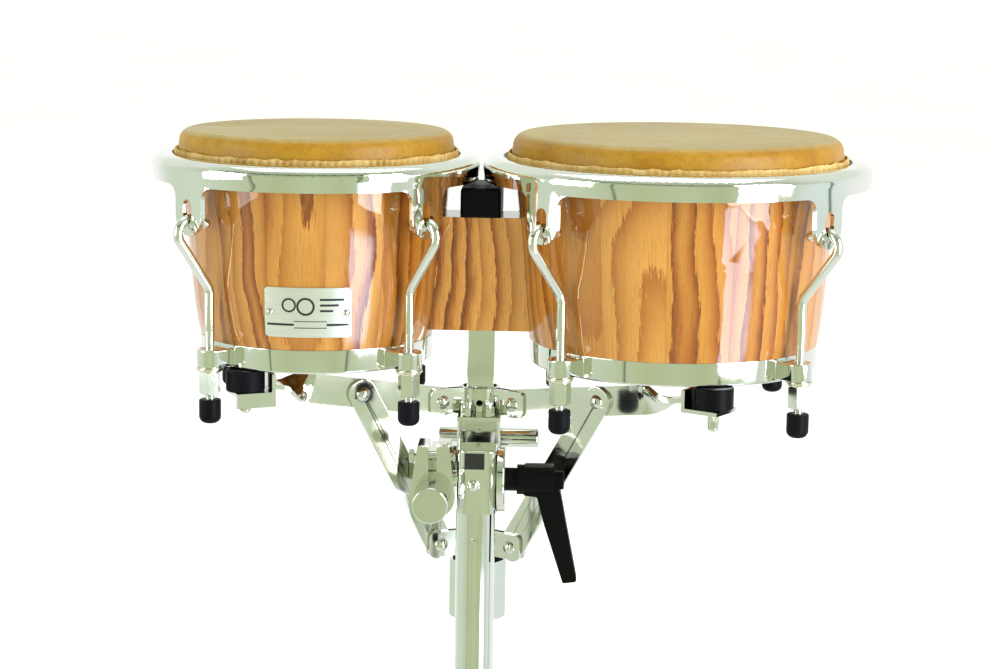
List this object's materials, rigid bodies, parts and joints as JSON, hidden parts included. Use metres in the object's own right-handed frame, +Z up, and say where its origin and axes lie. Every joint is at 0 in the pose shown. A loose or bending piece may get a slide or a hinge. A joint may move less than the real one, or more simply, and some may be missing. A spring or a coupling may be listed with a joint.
{
  "type": "bongo drums",
  "caption": "Pair of open-bottomed hand drums joined by a centre block, with tuning hooks and nuts, held by a folding basket and tilter on a mast.",
  "frame": {"origin": "centre of the mast tube's open lower end, where it plugs into a stand base", "axes": "+Z up along the mast, +X to the player's right from the small drum to the large drum, -Y is the front with the badge and the clamp lever"},
  "size_m": [0.4672, 0.252, 0.42],
  "materials": {
    "chrome": "polished chrome plate",
    "chrome_soft": "tumbled chrome plate, slightly softer shine",
    "zinc_steel": "zinc plated steel",
    "wood_stave": "striped ash, orange-tan, high gloss lacquer",
    "rawhide": "amber rawhide, satin",
    "skin_edge": "dry cut rawhide edge",
    "black_rubber": "satin black rubber",
    "black_nylon": "fine textured black moulding",
    "badge_metal": "satin plate with a printed ornament",
    "label_film": "plain dark film label",
    "brass_washer": "nickel plated brass"
  },
  "bodies": {
    "mast": {"mast_tube": "chrome", "tilter_barrel": "chrome", "tilter_disc": "chrome_soft", "barrel_rivets": "chrome", "tilter_label": "label_film"},
    "tilting_head": {"small_shell": "wood_stave", "small_head": "rawhide", "small_skin_edge": "skin_edge", "small_bottom_ring": "chrome", "large_shell": "wood_stave", "large_head": "rawhide", "large_skin_edge": "skin_edge", "large_bottom_ring": "chrome", "flesh_hoops": "zinc_steel", "tuning_washers": "brass_washer", "badge_plate": "badge_metal", "badge_screws": "chrome_soft", "centre_block": "wood_stave", "block_bolts": "chrome_soft", "hook_strap": "chrome", "hook_rubber": "black_rubber", "basket_hub": "chrome_soft", "hub_plate": "chrome", "hub_bolts": "chrome_soft", "hub_block": "chrome", "clamp_screws": "chrome_soft", "centre_post": "chrome_soft", "arm_pivot_bolts": "chrome_soft", "tilt_bracket": "chrome", "split_clamp": "chrome_soft"},
    "small_rim_set": {"small_rim": "chrome", "small_tuning_hooks": "chrome", "small_hook_tips": "black_rubber"},
    "large_rim_set": {"large_rim": "chrome", "large_tuning_hooks": "chrome", "large_hook_tips": "black_rubber"},
    "left_arm": {"left_arm": "chrome_soft", "left_pad": "black_rubber", "left_arm_fasteners": "chrome_soft"},
    "right_arm": {"right_arm": "chrome_soft", "right_pad": "black_rubber", "right_arm_fasteners": "chrome_soft"},
    "left_link": {"left_link": "chrome_soft"},
    "right_link": {"right_link": "chrome_soft"},
    "collar": {"collar": "chrome_soft", "collar_bolts": "chrome_soft", "thrust_washer": "black_nylon"},
    "basket_nut": {"basket_nut": "chrome"},
    "cross_bar": {"cross_bar": "chrome_soft"},
    "support_bar": {"support_bar": "chrome_soft"},
    "lever_core": {"lever_core": "black_nylon"},
    "clamp_lever": {"clamp_lever": "black_nylon"},
    "small_nut_1": {"small_nut_1": "chrome"},
    "small_nut_2": {"small_nut_2": "chrome"},
    "small_nut_3": {"small_nut_3": "chrome"},
    "small_nut_4": {"small_nut_4": "chrome"},
    "large_nut_1": {"large_nut_1": "chrome"},
    "large_nut_2": {"large_nut_2": "chrome"},
    "large_nut_3": {"large_nut_3": "chrome"},
    "large_nut_4": {"large_nut_4": "chrome"}
  },
  "joints": [
    {"name": "tilt", "type": "hinge", "parent": "mast", "child": "tilting_head", "pos_m": [0, 0, 0.1995], "axis": [1, 0, 0], "range_deg": [-5, 40]},
    {"name": "small_rim_slide", "type": "slide", "parent": "tilting_head", "child": "small_rim_set", "axis": [0, 0, 1], "range_m": [0, 0.0014]},
    {"name": "small_nut_1_turn", "type": "hinge", "parent": "tilting_head", "child": "small_nut_1", "pos_m": [-0.04758, 0.11052, 0.261], "axis": [0, 0, 1], "range_deg": [0, 504.01]},
    {"name": "small_nut_2_turn", "type": "hinge", "parent": "tilting_head", "child": "small_nut_2", "pos_m": [-0.17377, 0.10567, 0.261], "axis": [0, 0, 1], "range_deg": [0, 504.01]},
    {"name": "small_nut_3_turn", "type": "hinge", "parent": "tilting_head", "child": "small_nut_3", "pos_m": [-0.16892, -0.02052, 0.261], "axis": [0, 0, 1], "range_deg": [0, 504.01]},
    {"name": "small_nut_4_turn", "type": "hinge", "parent": "tilting_head", "child": "small_nut_4", "pos_m": [-0.04273, -0.01567, 0.261], "axis": [0, 0, 1], "range_deg": [0, 504.01]},
    {"name": "large_rim_slide", "type": "slide", "parent": "tilting_head", "child": "large_rim_set", "axis": [0, 0, 1], "range_m": [0, 0.0014]},
    {"name": "large_nut_1_turn", "type": "hinge", "parent": "tilting_head", "child": "large_nut_1", "pos_m": [0.19881, 0.12167, 0.261], "axis": [0, 0, 1], "range_deg": [0, 504.01]},
    {"name": "large_nut_2_turn", "type": "hinge", "parent": "tilting_head", "child": "large_nut_2", "pos_m": [0.04938, 0.11776, 0.261], "axis": [0, 0, 1], "range_deg": [0, 504.01]},
    {"name": "large_nut_3_turn", "type": "hinge", "parent": "tilting_head", "child": "large_nut_3", "pos_m": [0.05329, -0.03167, 0.261], "axis": [0, 0, 1], "range_deg": [0, 504.01]},
    {"name": "large_nut_4_turn", "type": "hinge", "parent": "tilting_head", "child": "large_nut_4", "pos_m": [0.20272, -0.02776, 0.261], "axis": [0, 0, 1], "range_deg": [0, 504.01]},
    {"name": "basket_nut_turn", "type": "hinge", "parent": "collar", "child": "basket_nut", "pos_m": [-0.0003, 0.054, 0.115], "axis": [0, 0, 1], "range_deg": [0, 5400.01]},
    {"name": "collar_slide", "type": "slide", "parent": "tilting_head", "child": "collar", "axis": [0, 0, -1], "range_m": [0, 0.03]},
    {"name": "left_arm_fold", "type": "hinge", "parent": "tilting_head", "child": "left_arm", "pos_m": [-0.02557, 0.04195, 0.2413], "axis": [0.4305, -0.9026, 0], "range_deg": [0, 29.43]},
    {"name": "left_link_swing", "type": "hinge", "parent": "left_arm", "child": "left_link", "pos_m": [-0.07639, 0.01771, 0.2505], "axis": [0.4305, -0.9026, 0], "range_deg": [-30.3, 0]},
    {"name": "right_arm_fold", "type": "hinge", "parent": "tilting_head", "child": "right_arm", "pos_m": [0.02318, 0.03875, 0.2413], "axis": [0.5446, 0.8387, 0], "range_deg": [0, 25.37]},
    {"name": "right_link_swing", "type": "hinge", "parent": "right_arm", "child": "right_link", "pos_m": [0.07862, 0.00275, 0.2515], "axis": [0.5446, 0.8387, 0], "range_deg": [-25.87, 0]},
    {"name": "cross_bar_slide", "type": "slide", "parent": "tilting_head", "child": "cross_bar", "axis": [1, 0, 0], "range_m": [-0.01, 0.014]},
    {"name": "support_bar_slide", "type": "slide", "parent": "tilting_head", "child": "support_bar", "axis": [0, 1, 0], "range_m": [-0.014, 0]},
    {"name": "lever_turn", "type": "hinge", "parent": "mast", "child": "lever_core", "pos_m": [0.0289, 0, 0.1995], "axis": [1, 0, 0], "range_deg": [-60, 15]},
    {"name": "lever_pull", "type": "slide", "parent": "lever_core", "child": "clamp_lever", "axis": [1, 0, 0], "range_m": [0, 0.004], "stiffness_N_per_m": 600, "springref_m": -0.002}
  ],
  "couplings": [
    {"joint": "small_nut_1_turn", "follows": "small_rim_slide", "rad_per_m": 6283.2},
    {"joint": "small_nut_2_turn", "follows": "small_rim_slide", "rad_per_m": 6283.2},
    {"joint": "small_nut_3_turn", "follows": "small_rim_slide", "rad_per_m": 6283.2},
    {"joint": "small_nut_4_turn", "follows": "small_rim_slide", "rad_per_m": 6283.2},
    {"joint": "large_nut_1_turn", "follows": "large_rim_slide", "rad_per_m": 6283.2},
    {"joint": "large_nut_2_turn", "follows": "large_rim_slide", "rad_per_m": 6283.2},
    {"joint": "large_nut_3_turn", "follows": "large_rim_slide", "rad_per_m": 6283.2},
    {"joint": "large_nut_4_turn", "follows": "large_rim_slide", "rad_per_m": 6283.2},
    {"joint": "basket_nut_turn", "follows": "collar_slide", "rad_per_m": 3141.6},
    {"joint": "left_arm_fold", "follows": "collar_slide", "rad_per_m": 17.12},
    {"joint": "left_link_swing", "follows": "collar_slide", "rad_per_m": -17.63},
    {"joint": "right_arm_fold", "follows": "collar_slide", "rad_per_m": 14.76},
    {"joint": "right_link_swing", "follows": "collar_slide", "rad_per_m": -15.05}
  ]
}
